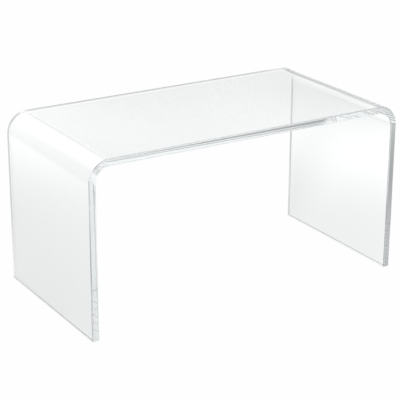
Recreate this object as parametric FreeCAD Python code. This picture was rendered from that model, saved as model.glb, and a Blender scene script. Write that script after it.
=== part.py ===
import FreeCAD, Part
import math
import os
from FreeCAD import Vector

# Waterfall coffee table: one clear acrylic sheet, bent down at each end to make the legs, on four small pads.
# Millimetres. The origin is on the floor under the middle of the top.
# +X runs along the length, +Y from the front long edge to the back one, +Z up.

# Overall sizes
LENGTH = 914.0  # over the outer faces of the legs
DEPTH = 457.0  # front edge to back edge
HEIGHT = 464.0  # floor to the top face

# Bent sheet
SHEET_THICKNESS = 19.0
BEND_INNER_RADIUS = 37.0  # on the underside of each bend
ARRIS_RADIUS = 3.0  # easing of the polished long edges
FOOT_ARRIS_RADIUS = 1.5  # easing round the foot of each leg

# Foot pads: low tapered bumpers, each held by a film of adhesive
PAD_DIAMETER = 10.0  # where it meets the adhesive
PAD_HEIGHT = 2.0
PAD_TAPER = 0.5  # how much less its radius is at the foot
PAD_EDGE_RADIUS = 0.6  # round the foot of the pad
PAD_INSET = 40.0  # from the front or back edge of the sheet to the middle of the pad
ADHESIVE_RIM = 0.3  # bare rim of the pad round the film
ADHESIVE_THICKNESS = 0.2

# Places that follow from the sizes
BEND_OUTER_RADIUS = BEND_INNER_RADIUS + SHEET_THICKNESS
SHEET_BOTTOM = PAD_HEIGHT + ADHESIVE_THICKNESS
LEG_OUTER_X = LENGTH / 2
LEG_INNER_X = LEG_OUTER_X - SHEET_THICKNESS
LEG_MIDDLE_X = (LEG_OUTER_X + LEG_INNER_X) / 2
BEND_CENTRE_X = LEG_OUTER_X - BEND_OUTER_RADIUS
BEND_CENTRE_Z = HEIGHT - BEND_OUTER_RADIUS
TOP_UNDERSIDE_Z = HEIGHT - SHEET_THICKNESS
PAD_Y = DEPTH / 2 - PAD_INSET
PAD_RADIUS = PAD_DIAMETER / 2

SMOOTH_COSINE = 0.5  # faces whose normals agree more than this meet smoothly


def front_point(x, z):
    return Vector(x, -DEPTH / 2, z)


def bend_arc(side, radius):
    # A quarter circle about the bend's centre line, from the leg round to the top.
    centre = front_point(side * BEND_CENTRE_X, BEND_CENTRE_Z)
    across = Vector(side, 0, 0)
    up = Vector(0, 0, 1)
    halfway = (across + up).normalize()
    return Part.Arc(centre + across * radius, centre + halfway * radius, centre + up * radius).toShape()


def half_outline(side):
    # Five edges of one leg and its bend; the top joins the two halves.
    outer_foot = front_point(side * LEG_OUTER_X, SHEET_BOTTOM)
    inner_foot = front_point(side * LEG_INNER_X, SHEET_BOTTOM)
    return [
        Part.makeLine(outer_foot, inner_foot),
        Part.makeLine(outer_foot, front_point(side * LEG_OUTER_X, BEND_CENTRE_Z)),
        Part.makeLine(inner_foot, front_point(side * LEG_INNER_X, BEND_CENTRE_Z)),
        bend_arc(side, BEND_OUTER_RADIUS),
        bend_arc(side, BEND_INNER_RADIUS),
    ]


def top_lines():
    return [
        Part.makeLine(front_point(-BEND_CENTRE_X, z), front_point(BEND_CENTRE_X, z))
        for z in (HEIGHT, TOP_UNDERSIDE_Z)
    ]


def sharp_edges(solid, round_feet):
    # Edges whose two faces meet at an angle: all the arrises, and none of the lines where a bend begins.
    # Either the edges round the feet, or all the others.
    found = []
    for edge in solid.Edges:
        middle = edge.valueAt((edge.FirstParameter + edge.LastParameter) / 2)
        normals = [
            face.normalAt(*face.Surface.parameter(middle))
            for face in solid.ancestorsOfType(edge, Part.Face)
        ]
        at_foot = math.isclose(middle.z, SHEET_BOTTOM)
        if normals[0].dot(normals[1]) < SMOOTH_COSINE and at_foot == round_feet:
            found.append(edge)
    return found


def bent_sheet():
    edges = half_outline(-1) + half_outline(1) + top_lines()
    outline = Part.Wire(Part.__sortEdges__(edges))
    sheet = Part.Face(outline).extrude(Vector(0, DEPTH, 0))
    sheet = sheet.makeFillet(ARRIS_RADIUS, sharp_edges(sheet, round_feet=False))
    return sheet.makeFillet(FOOT_ARRIS_RADIUS, sharp_edges(sheet, round_feet=True))


def foot_pad(x, y):
    # Narrower at the foot, as a moulded bumper is, with its lower edge rounded.
    pad = Part.makeCone(PAD_RADIUS - PAD_TAPER, PAD_RADIUS, PAD_HEIGHT, Vector(x, y, 0))
    lower_rim = [edge for edge in pad.Edges if edge.BoundBox.ZMax < PAD_HEIGHT / 2]
    return pad.makeFillet(PAD_EDGE_RADIUS, lower_rim)


def pad_adhesive(x, y):
    return Part.makeCylinder(PAD_RADIUS - ADHESIVE_RIM, ADHESIVE_THICKNESS, Vector(x, y, PAD_HEIGHT))


def table():
    pieces = {"bent_sheet": bent_sheet()}
    for side_name, x in (("left", -LEG_MIDDLE_X), ("right", LEG_MIDDLE_X)):
        for end_name, y in (("front", -PAD_Y), ("back", PAD_Y)):
            place = end_name + "_" + side_name
            pieces["foot_pad_" + place] = foot_pad(x, y)
            pieces["pad_adhesive_" + place] = pad_adhesive(x, y)
    return pieces


os.makedirs("parts", exist_ok=True)
for name, shape in table().items():
    solid = shape.Solids[0]
    solid.exportStep(os.path.join("parts", name + ".step"))
    print(name, "volume", round(solid.Volume, 1), "valid", solid.isValid(), "solids", len(shape.Solids))
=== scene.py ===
import math
import bpy
from mathutils import Matrix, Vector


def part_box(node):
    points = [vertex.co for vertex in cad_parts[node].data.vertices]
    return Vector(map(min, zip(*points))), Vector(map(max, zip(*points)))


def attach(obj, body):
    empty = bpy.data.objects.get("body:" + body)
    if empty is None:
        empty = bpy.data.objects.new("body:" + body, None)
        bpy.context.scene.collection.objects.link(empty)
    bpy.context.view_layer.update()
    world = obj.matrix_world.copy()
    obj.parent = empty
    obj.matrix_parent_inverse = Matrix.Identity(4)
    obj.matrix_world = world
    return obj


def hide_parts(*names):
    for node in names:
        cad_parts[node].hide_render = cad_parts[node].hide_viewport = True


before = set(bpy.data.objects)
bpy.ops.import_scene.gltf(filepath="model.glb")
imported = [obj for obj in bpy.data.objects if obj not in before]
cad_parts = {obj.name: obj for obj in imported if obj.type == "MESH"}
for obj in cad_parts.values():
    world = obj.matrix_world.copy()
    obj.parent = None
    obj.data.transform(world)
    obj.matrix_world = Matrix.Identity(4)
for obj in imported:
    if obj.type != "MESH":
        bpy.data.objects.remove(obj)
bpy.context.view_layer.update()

mm = 0.001
sheetLow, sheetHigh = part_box("bent_sheet")
print("frame: loaded", len(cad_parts), "nodes")


def linearColour(hexCode):
    # sRGB hex to the linear values that a socket takes
    channels = [int(hexCode[i:i + 2], 16) / 255 for i in (1, 3, 5)]
    return (*[c / 12.92 if c <= 0.04045 else ((c + 0.055) / 1.055) ** 2.4 for c in channels], 1.0)


def addNode(tree, kind, values=None, **settings):
    # values maps an input to a plain value, or to the output that feeds it
    node = tree.nodes.new(kind)
    for name, setting in settings.items():
        setattr(node, name, setting)
    for socket, value in (values or {}).items():
        if isinstance(value, bpy.types.NodeSocket):
            tree.links.new(value, node.inputs[socket])
        else:
            node.inputs[socket].default_value = value
    return node


def newMaterial(name):
    material = bpy.data.materials.new(name)
    material.use_nodes = True
    material.node_tree.nodes.clear()
    return material, material.node_tree


# Cast acrylic, bent hot and polished: colourless and water clear through the face, but an edge is seen
# through hundreds of millimetres of it, so the edges read grey.
castAcrylic = {
    "tint": "#FCFDFD",
    "ior": 1.49,
    "roughness": (0.0, 0.02),  # clean gloss to faint wipe marks
    "wipeMarkSize": 90 * mm,
    "wipeMarkNoise": {"Detail": 4.0, "Roughness": 0.6, "Distortion": 0.8},
    "wipeMarkRange": (0.5, 0.8),  # the sheet is clean below the first and wiped above the second
    "wavinessSize": 120 * mm,  # cast sheet is never quite flat
    "wavinessNoise": {"Detail": 1.0, "Roughness": 0.4},
    "wavinessHeight": 0.06 * mm,
    "absorbColour": "#B9C2C6",
    "absorbDensity": 0.8,  # per metre, before the colour's own share
}


def castAcrylicMaterial():
    material, tree = newMaterial("castAcrylicPolished")
    place = addNode(tree, "ShaderNodeTexCoord").outputs["Object"]
    wipe = addNode(tree, "ShaderNodeTexNoise", {
        "Vector": place, "Scale": 1 / castAcrylic["wipeMarkSize"], **castAcrylic["wipeMarkNoise"],
    })
    clean, wiped = castAcrylic["wipeMarkRange"]
    smoothest, dullest = castAcrylic["roughness"]
    roughness = addNode(tree, "ShaderNodeMapRange", {
        "Value": wipe.outputs["Fac"], "From Min": clean, "From Max": wiped,
        "To Min": smoothest, "To Max": dullest,
    })
    waves = addNode(tree, "ShaderNodeTexNoise", {
        "Vector": place, "Scale": 1 / castAcrylic["wavinessSize"], **castAcrylic["wavinessNoise"],
    })
    waviness = addNode(tree, "ShaderNodeBump", {
        "Height": waves.outputs["Fac"], "Strength": 1.0, "Distance": castAcrylic["wavinessHeight"],
    })
    shader = addNode(tree, "ShaderNodeBsdfPrincipled", {
        "Base Color": linearColour(castAcrylic["tint"]),
        "Transmission Weight": 1.0,
        "IOR": castAcrylic["ior"],
        "Roughness": roughness.outputs["Result"],
        "Normal": waviness.outputs["Normal"],
    })
    inside = addNode(tree, "ShaderNodeVolumeAbsorption", {
        "Color": linearColour(castAcrylic["absorbColour"]), "Density": castAcrylic["absorbDensity"],
    })
    addNode(tree, "ShaderNodeOutputMaterial", {
        "Surface": shader.outputs["BSDF"], "Volume": inside.outputs["Volume"],
    })
    return material


# Clear polyurethane, moulded: a soft rubbery bumper, a little cloudy, with a satin skin.
polyurethane = {
    "tint": "#F7F6F2",
    "ior": 1.5,
    "roughness": (0.1, 0.2),
    "grainSize": 0.6 * mm,
    "grainDetail": 2.0,
    "grainHeight": 0.02 * mm,
    "grainStrength": 0.5,
}


def polyurethaneMaterial():
    material, tree = newMaterial("polyurethaneClearMoulded")
    place = addNode(tree, "ShaderNodeTexCoord").outputs["Object"]
    grain = addNode(tree, "ShaderNodeTexNoise", {
        "Vector": place, "Scale": 1 / polyurethane["grainSize"], "Detail": polyurethane["grainDetail"],
    })
    smoothest, dullest = polyurethane["roughness"]
    roughness = addNode(tree, "ShaderNodeMapRange", {
        "Value": grain.outputs["Fac"], "To Min": smoothest, "To Max": dullest,
    })
    skin = addNode(tree, "ShaderNodeBump", {
        "Height": grain.outputs["Fac"],
        "Strength": polyurethane["grainStrength"],
        "Distance": polyurethane["grainHeight"],
    })
    shader = addNode(tree, "ShaderNodeBsdfPrincipled", {
        "Base Color": linearColour(polyurethane["tint"]),
        "Transmission Weight": 1.0,
        "IOR": polyurethane["ior"],
        "Roughness": roughness.outputs["Result"],
        "Normal": skin.outputs["Normal"],
    })
    addNode(tree, "ShaderNodeOutputMaterial", {"Surface": shader.outputs["BSDF"]})
    return material


# Acrylic pressure-sensitive film: clear, faintly yellow, with tiny trapped bubbles.
adhesiveFilm = {
    "tint": "#F8F6EC",
    "bubbleTint": "#FFFFFF",
    "ior": 1.47,
    "roughness": 0.2,
    "bubbleSize": 1.2 * mm,
    "bubbleRim": (0.15, 0.3),  # a bubble fades between these distances from its middle, in bubble sizes
}


def adhesiveFilmMaterial():
    material, tree = newMaterial("acrylicAdhesiveFilm")
    place = addNode(tree, "ShaderNodeTexCoord").outputs["Object"]
    bubbles = addNode(tree, "ShaderNodeTexVoronoi", {
        "Vector": place, "Scale": 1 / adhesiveFilm["bubbleSize"],
    })
    rimStart, rimEnd = adhesiveFilm["bubbleRim"]
    ring = addNode(tree, "ShaderNodeMapRange", {
        "Value": bubbles.outputs["Distance"], "From Min": rimStart, "From Max": rimEnd,
    })
    colour = addNode(tree, "ShaderNodeMix", {
        "Factor": ring.outputs["Result"],
        6: linearColour(adhesiveFilm["bubbleTint"]),  # a mix takes its two colours at 6 and 7
        7: linearColour(adhesiveFilm["tint"]),
    }, data_type="RGBA")
    shader = addNode(tree, "ShaderNodeBsdfPrincipled", {
        "Base Color": colour.outputs[2],
        "Transmission Weight": 1.0,
        "IOR": adhesiveFilm["ior"],
        "Roughness": adhesiveFilm["roughness"],
    })
    addNode(tree, "ShaderNodeOutputMaterial", {"Surface": shader.outputs["BSDF"]})
    return material


# The bent sheet: a rectangle swept up one leg, over two round bends and down the other leg.
bentSheet = {
    "Thickness": 19 * mm,
    "Inner radius": 37 * mm,
    "Bend steps": 72,
    "Step length": 2 * mm,
    "Easing passes": 6,  # a hot bend starts and ends gently
    "Eased edge": 3 * mm,
    "Eased steps": 6,
    "Eased foot": 1.5 * mm,
    "Sharp angle": math.radians(40),  # only the edges round the feet turn by more
    "Flat weight": 100,  # the large flat faces set the shading beside them
    "Air over pads": 0.05 * mm,  # faces that touch exactly would confuse the light
}


def bentSheetTree(material):
    tree = bpy.data.node_groups.new("bentSheetTree", "GeometryNodeTree")
    for name, kind in (
        ("Length", "Float"), ("Depth", "Float"), ("Height", "Float"), ("Foot level", "Float"),
        ("Thickness", "Float"), ("Inner radius", "Float"), ("Bend steps", "Int"), ("Step length", "Float"),
        ("Easing passes", "Int"), ("Eased edge", "Float"), ("Eased steps", "Int"),
    ):
        tree.interface.new_socket(name, in_out="INPUT", socket_type="NodeSocket" + kind)
    tree.interface.new_socket("Geometry", in_out="OUTPUT", socket_type="NodeSocketGeometry")
    size = addNode(tree, "NodeGroupInput").outputs

    # the path goes up one leg, along the top and down the other leg, in the middle of the thickness
    halfLength = addNode(tree, "ShaderNodeMath", {0: size["Length"], 1: 0.5}, operation="MULTIPLY")
    outerCorner = addNode(tree, "ShaderNodeCombineXYZ", {"X": halfLength.outputs[0], "Z": size["Height"]})
    footLevel = addNode(tree, "ShaderNodeCombineXYZ", {"Z": size["Foot level"]})
    rightTop = addNode(tree, "ShaderNodeVectorMath", {
        0: size["Thickness"], 1: (-0.5, 0, -0.5), 2: outerCorner.outputs[0],
    }, operation="MULTIPLY_ADD")
    leftTop = addNode(tree, "ShaderNodeVectorMath", {
        0: rightTop.outputs[0], 1: (-1, 1, 1),
    }, operation="MULTIPLY")
    rightFoot = addNode(tree, "ShaderNodeVectorMath", {
        0: rightTop.outputs[0], 1: (1, 0, 0), 2: footLevel.outputs[0],
    }, operation="MULTIPLY_ADD")
    leftFoot = addNode(tree, "ShaderNodeVectorMath", {
        0: rightTop.outputs[0], 1: (-1, 0, 0), 2: footLevel.outputs[0],
    }, operation="MULTIPLY_ADD")
    path = addNode(tree, "GeometryNodeCurvePrimitiveQuadrilateral", {
        "Point 1": leftFoot.outputs[0], "Point 2": leftTop.outputs[0],
        "Point 3": rightTop.outputs[0], "Point 4": rightFoot.outputs[0],
    }, mode="POINTS")
    opened = addNode(tree, "GeometryNodeSetSplineCyclic", {
        "Geometry": path.outputs["Curve"], "Cyclic": False,
    })
    middleRadius = addNode(tree, "ShaderNodeMath", {
        0: size["Thickness"], 1: 0.5, 2: size["Inner radius"],
    }, operation="MULTIPLY_ADD")
    bends = addNode(tree, "GeometryNodeFilletCurve", {
        "Curve": opened.outputs["Geometry"], "Count": size["Bend steps"], "Radius": middleRadius.outputs[0],
    }, mode="POLY")
    spot = addNode(tree, "GeometryNodeInputPosition").outputs["Position"]
    evened = addNode(tree, "GeometryNodeResampleCurve", {
        "Curve": bends.outputs["Curve"], "Length": size["Step length"],
    }, mode="LENGTH")
    averaged = addNode(tree, "GeometryNodeBlurAttribute", {
        "Value": spot, "Iterations": size["Easing passes"],
    }, data_type="FLOAT_VECTOR")
    level = addNode(tree, "ShaderNodeSeparateXYZ", {"Vector": spot}).outputs["Z"]
    halfHeight = addNode(tree, "ShaderNodeMath", {0: size["Height"], 1: 0.5}, operation="MULTIPLY")
    upper = addNode(tree, "ShaderNodeMath", {0: level, 1: halfHeight.outputs[0]}, operation="GREATER_THAN")
    eased = addNode(tree, "GeometryNodeSetPosition", {
        "Geometry": evened.outputs["Curve"],
        "Selection": upper.outputs[0],
        "Position": averaged.outputs["Value"],
    })
    ends = addNode(tree, "GeometryNodeCurveEndpointSelection", {"Start Size": 1, "End Size": 1})
    spare = addNode(tree, "FunctionNodeBooleanMath", {
        0: upper.outputs[0], 1: ends.outputs["Selection"],
    }, operation="NOR")  # a straight leg needs only its two ends
    spine = addNode(tree, "GeometryNodeDeleteGeometry", {
        "Geometry": eased.outputs["Geometry"], "Selection": spare.outputs[0],
    }, domain="POINT")
    section = addNode(tree, "GeometryNodeCurvePrimitiveQuadrilateral", {
        "Width": size["Thickness"], "Height": size["Depth"],
    }, mode="RECTANGLE")
    rounded = addNode(tree, "GeometryNodeFilletCurve", {
        "Curve": section.outputs["Curve"], "Count": size["Eased steps"], "Radius": size["Eased edge"],
    }, mode="POLY")
    swept = addNode(tree, "GeometryNodeCurveToMesh", {
        "Curve": spine.outputs["Geometry"], "Profile Curve": rounded.outputs["Curve"], "Fill Caps": True,
    })

    smooth = addNode(tree, "GeometryNodeSetShadeSmooth", {"Geometry": swept.outputs["Mesh"]})
    whole = addNode(tree, "GeometryNodeRealizeInstances", {"Geometry": smooth.outputs["Geometry"]})
    finished = addNode(tree, "GeometryNodeSetMaterial", {
        "Geometry": whole.outputs["Geometry"], "Material": material,
    })
    addNode(tree, "NodeGroupOutput", {"Geometry": finished.outputs["Geometry"]})
    return tree


def makeBentSheet(material):
    tree = bentSheetTree(material)
    piece = bpy.data.objects.new("bentSheet", bpy.data.meshes.new("bentSheet"))
    bpy.context.scene.collection.objects.link(piece)
    bending = piece.modifiers.new("bending", "NODES")
    bending.node_group = tree
    sizes = {
        **bentSheet,
        "Length": sheetHigh.x - sheetLow.x,
        "Depth": sheetHigh.y - sheetLow.y,
        "Height": sheetHigh.z,
        "Foot level": sheetLow.z + bentSheet["Air over pads"],
    }
    for item in tree.interface.items_tree:
        if item.in_out == "INPUT":
            bending[item.identifier] = sizes[item.name]
    feet = piece.modifiers.new("easedFeet", "BEVEL")  # the sweep leaves the foot of each leg sharp
    feet.width = bentSheet["Eased foot"]
    feet.segments = bentSheet["Eased steps"]
    feet.limit_method = "ANGLE"
    feet.angle_limit = bentSheet["Sharp angle"]
    flats = piece.modifiers.new("flatFaces", "WEIGHTED_NORMAL")
    flats.weight = bentSheet["Flat weight"]
    depsgraph = bpy.context.evaluated_depsgraph_get()
    mesh = bpy.data.meshes.new_from_object(
        piece.evaluated_get(depsgraph), preserve_all_data_layers=True, depsgraph=depsgraph)
    piece.modifiers.clear()
    piece.data = mesh
    return piece


acrylic = castAcrylicMaterial()
sheetPiece = makeBentSheet(acrylic)
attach(sheetPiece, "root")
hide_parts("bent_sheet")
print("bent sheet:", len(sheetPiece.data.polygons), "faces")

padMaterial = polyurethaneMaterial()
filmMaterial = adhesiveFilmMaterial()
for name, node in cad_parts.items():
    if name.startswith("foot_pad"):
        node.data.materials[0] = padMaterial
    elif name.startswith("pad_adhesive"):
        node.data.materials[0] = filmMaterial
print("pads and adhesive: dressed")

# White sweep and soft surroundings. The camera sees plain white, and only light that has met the table
# sees the soft gradings: one for light that passes straight through, one for light reflected in the sheet.
studio = {
    "floorSize": 24.0,
    "white": "#FEFEFE",
    "plain": 1.0,  # brightness for the camera
    "skyline": ((0.0, 1.17), (0.25, 0.91), (0.42, 1.05), (0.7, 1.17), (1.0, 1.17)),  # height, brightness
    "floorTurns": 1,  # reflections after which the floor shows its second grading
    "skyTurns": 3,
    "turnMargin": 0.5,  # a count of reflections is tested halfway between whole numbers
}

# Patches are painted shade: soft dim ovals on the floor's glow, such as the table's soft shadow under and
# behind it, in metres and degrees. The core is the share with no fading, and a patch with turns shows only
# to light reflected at least that often. Cards are soft grey rounds far off, in degrees, with azimuth from
# +X to +Y and a reach from full depth to none.
straightLight = {
    "floor": 1.15,
    "paintedShadePatches": (
        {"centre": (-0.57, 0.73), "reach": (1.08, 1.77), "turn": 0.0, "core": 0.2, "depth": 0.32},
        {"centre": (0.5, 0.2), "reach": (0.8, 1.2), "turn": -17.5, "core": 0.0, "depth": 0.22},
        {"centre": (1.46, 1.1), "reach": (0.62, 0.9), "turn": -45.0, "core": 0.0, "depth": 0.24},
        {"centre": (0.0, -4.5), "reach": (7.0, 4.2), "turn": 0.0, "core": 0.6, "depth": 0.2},
        {"centre": (-5.0, 0.3), "reach": (4.0, 6.0), "turn": 0.0, "core": 0.6, "depth": 0.2},
    ),
    "cards": (
        {"azimuth": 60.0, "elevation": 11.8, "reach": (4.0, 10.0), "depth": 0.5},
        {"azimuth": 48.4, "elevation": 5.3, "reach": (3.0, 13.8), "depth": 0.6},
        {"azimuth": 62.0, "elevation": 25.0, "reach": (2.0, 8.0), "depth": 0.3},
    ),
}
zigzagLight = {
    "floor": 1.19,
    "paintedShadePatches": (
        {"centre": (0.35, 0.43), "reach": (0.18, 1.1), "turn": 46.0, "core": 0.0, "depth": 0.65},
        {"centre": (0.1, -0.95), "reach": (2.4, 1.52), "turn": 0.0, "core": 0.4, "depth": 0.5},
        {"centre": (1.95, 1.81), "reach": (0.57, 2.07), "turn": -34.0, "core": 0.0, "depth": 0.65},
        {"centre": (-0.69, 0.42), "reach": (0.68, 1.14), "turn": 0.0, "core": 0.0, "depth": 0.14},
        {"centre": (-0.5, 0.4), "reach": (0.6, 0.5), "turn": 0.0, "core": 0.4, "depth": 0.42,
         "turns": 11},
        {"centre": (-0.15, 0.92), "reach": (0.25, 0.75), "turn": 40.0, "core": 0.0, "depth": 0.33,
         "turns": 10},
    ),
    "cards": (
        {"azimuth": 54.0, "elevation": 17.1, "reach": (5.0, 13.9), "depth": 0.42},
        {"azimuth": 207.0, "elevation": 21.1, "reach": (70.0, 85.0), "depth": 0.4},
        {"azimuth": 90.0, "elevation": 52.0, "reach": (12.0, 24.0), "depth": 0.65},
        {"azimuth": 314.0, "elevation": 22.0, "reach": (5.0, 13.0), "depth": 0.55},
    ),
}


# painted shade: the floor's glow is dimmed in soft ovals where the table's shadow would fall
def dimFloor(tree, place, light):
    brightness = light["floor"]
    turnCount = addNode(tree, "ShaderNodeLightPath").outputs["Glossy Depth"]
    for patch in light["paintedShadePatches"]:
        fromPatch = addNode(tree, "ShaderNodeMapping", {
            "Vector": place,
            "Location": (*patch["centre"], 0),
            "Rotation": (0, 0, math.radians(patch["turn"])),
            "Scale": (*patch["reach"], 1),
        }, vector_type="TEXTURE")
        distance = addNode(tree, "ShaderNodeVectorMath", {
            0: fromPatch.outputs["Vector"],
        }, operation="LENGTH")
        seen = addNode(tree, "ShaderNodeMath", {
            0: turnCount, 1: patch.get("turns", 0) - studio["turnMargin"],
        }, operation="GREATER_THAN")
        darkest = addNode(tree, "ShaderNodeMath", {
            0: seen.outputs[0], 1: -patch["depth"], 2: 1.0,
        }, operation="MULTIPLY_ADD")
        # painted shade on the floor, darkest in the patch's core and fading to full brightness at its reach
        shade = addNode(tree, "ShaderNodeMapRange", {
            "Value": distance.outputs["Value"], "From Min": patch["core"],
            "To Min": darkest.outputs[0], "To Max": 1.0,
        }, interpolation_type="SMOOTHSTEP")
        brightness = addNode(tree, "ShaderNodeMath", {
            0: brightness, 1: shade.outputs["Result"],
        }, operation="MULTIPLY").outputs[0]
    return brightness


def dimSky(tree, direction, brightness, light):
    for card in light["cards"]:
        azimuth, elevation = math.radians(card["azimuth"]), math.radians(card["elevation"])
        fullReach, noneReach = card["reach"]
        level = math.cos(elevation)
        towards = (level * math.cos(azimuth), level * math.sin(azimuth), math.sin(elevation))
        across = addNode(tree, "ShaderNodeVectorMath", {0: direction, 1: towards}, operation="DOT_PRODUCT")
        angle = addNode(tree, "ShaderNodeMath", {0: across.outputs["Value"]}, operation="ARCCOSINE")
        shade = addNode(tree, "ShaderNodeMapRange", {
            "Value": angle.outputs[0],
            "From Min": math.radians(fullReach), "From Max": math.radians(noneReach),
            "To Min": 1 - card["depth"], "To Max": 1.0,
        }, interpolation_type="SMOOTHSTEP")
        brightness = addNode(tree, "ShaderNodeMath", {
            0: brightness, 1: shade.outputs["Result"],
        }, operation="MULTIPLY").outputs[0]
    return brightness


def pickLight(tree, straight, zigzag, turns):
    # brightness by the path that light took: straight through, reflected inside, or directly to the camera
    path = addNode(tree, "ShaderNodeLightPath").outputs
    turned = addNode(tree, "ShaderNodeMath", {
        0: path["Glossy Depth"], 1: turns - studio["turnMargin"],
    }, operation="GREATER_THAN")
    graded = addNode(tree, "ShaderNodeMix", {
        "Factor": turned.outputs[0], 2: straight, 3: zigzag,  # a mix takes its two numbers at 2 and 3
    }, data_type="FLOAT")
    return addNode(tree, "ShaderNodeMix", {
        "Factor": path["Is Camera Ray"], 2: graded.outputs[0], 3: studio["plain"],
    }, data_type="FLOAT").outputs[0]


def makeFloor():
    half = studio["floorSize"] / 2
    corners = [(-half, -half, 0), (half, -half, 0), (half, half, 0), (-half, half, 0)]
    mesh = bpy.data.meshes.new("floor")
    mesh.from_pydata(corners, [], [(0, 1, 2, 3)])
    floor = bpy.data.objects.new("floor", mesh)
    bpy.context.scene.collection.objects.link(floor)
    material, tree = newMaterial("whiteSweep")
    place = addNode(tree, "ShaderNodeTexCoord").outputs["Object"]
    straight = dimFloor(tree, place, straightLight)
    zigzag = dimFloor(tree, place, zigzagLight)
    glow = addNode(tree, "ShaderNodeEmission", {
        "Color": linearColour(studio["white"]),
        "Strength": pickLight(tree, straight, zigzag, studio["floorTurns"]),
    })
    addNode(tree, "ShaderNodeOutputMaterial", {"Surface": glow.outputs["Emission"]})
    mesh.materials.append(material)


def makeSurroundings():
    world = bpy.data.worlds.new("studio")
    bpy.context.scene.world = world
    world.use_nodes = True
    tree = world.node_tree
    tree.nodes.clear()
    direction = addNode(tree, "ShaderNodeTexCoord").outputs["Generated"]
    height = addNode(tree, "ShaderNodeSeparateXYZ", {"Vector": direction}).outputs["Z"]
    ramp = addNode(tree, "ShaderNodeValToRGB", {"Fac": height})
    stops = ramp.color_ramp.elements
    for place, _ in studio["skyline"][1:-1]:  # a new ramp already has its two ends
        stops.new(place)
    for stop, (place, brightness) in zip(stops, studio["skyline"]):
        stop.position = place
        stop.color = (brightness, brightness, brightness, 1)
    straight = dimSky(tree, direction, ramp.outputs["Color"], straightLight)
    zigzag = dimSky(tree, direction, ramp.outputs["Color"], zigzagLight)
    back = addNode(tree, "ShaderNodeBackground", {
        "Color": linearColour(studio["white"]),
        "Strength": pickLight(tree, straight, zigzag, studio["skyTurns"]),
    })
    addNode(tree, "ShaderNodeOutputWorld", {"Surface": back.outputs["Background"]})


makeFloor()
makeSurroundings()
print("studio: floor and surroundings")

# Camera found from the straight edges in the picture, which is 400 by 400.
camera = {
    "place": (-1.8724, -3.0049, 1.5414),
    "azimuth": -31.775,  # 0 looks along +Y
    "elevation": 20.613,
    "roll": 0.254,
    "lens": 127.94,
    "sensor": 36.0,
    "clipEnd": 100.0,
    "bounces": 160,  # light zigzags many times inside the sheet before it leaves by an edge
}


def makeCamera():
    lens = bpy.data.cameras.new("camera")
    lens.sensor_width = camera["sensor"]
    lens.lens = camera["lens"]
    lens.clip_end = camera["clipEnd"]
    stand = bpy.data.objects.new("camera", lens)
    turn = (
        Matrix.Rotation(math.radians(camera["azimuth"]), 4, "Z")
        @ Matrix.Rotation(math.radians(90 - camera["elevation"]), 4, "X")
        @ Matrix.Rotation(math.radians(camera["roll"]), 4, "Z")
    )
    stand.matrix_world = Matrix.Translation(camera["place"]) @ turn
    bpy.context.scene.collection.objects.link(stand)
    bpy.context.scene.camera = stand


makeCamera()
scene = bpy.context.scene
scene.view_settings.view_transform = "Standard"
scene.cycles.max_bounces = camera["bounces"]
scene.cycles.glossy_bounces = camera["bounces"]
scene.cycles.transmission_bounces = camera["bounces"]
scene.cycles.denoising_input_passes = "RGB"  # colour and normal passes don't help through clear pieces
print("camera: set")
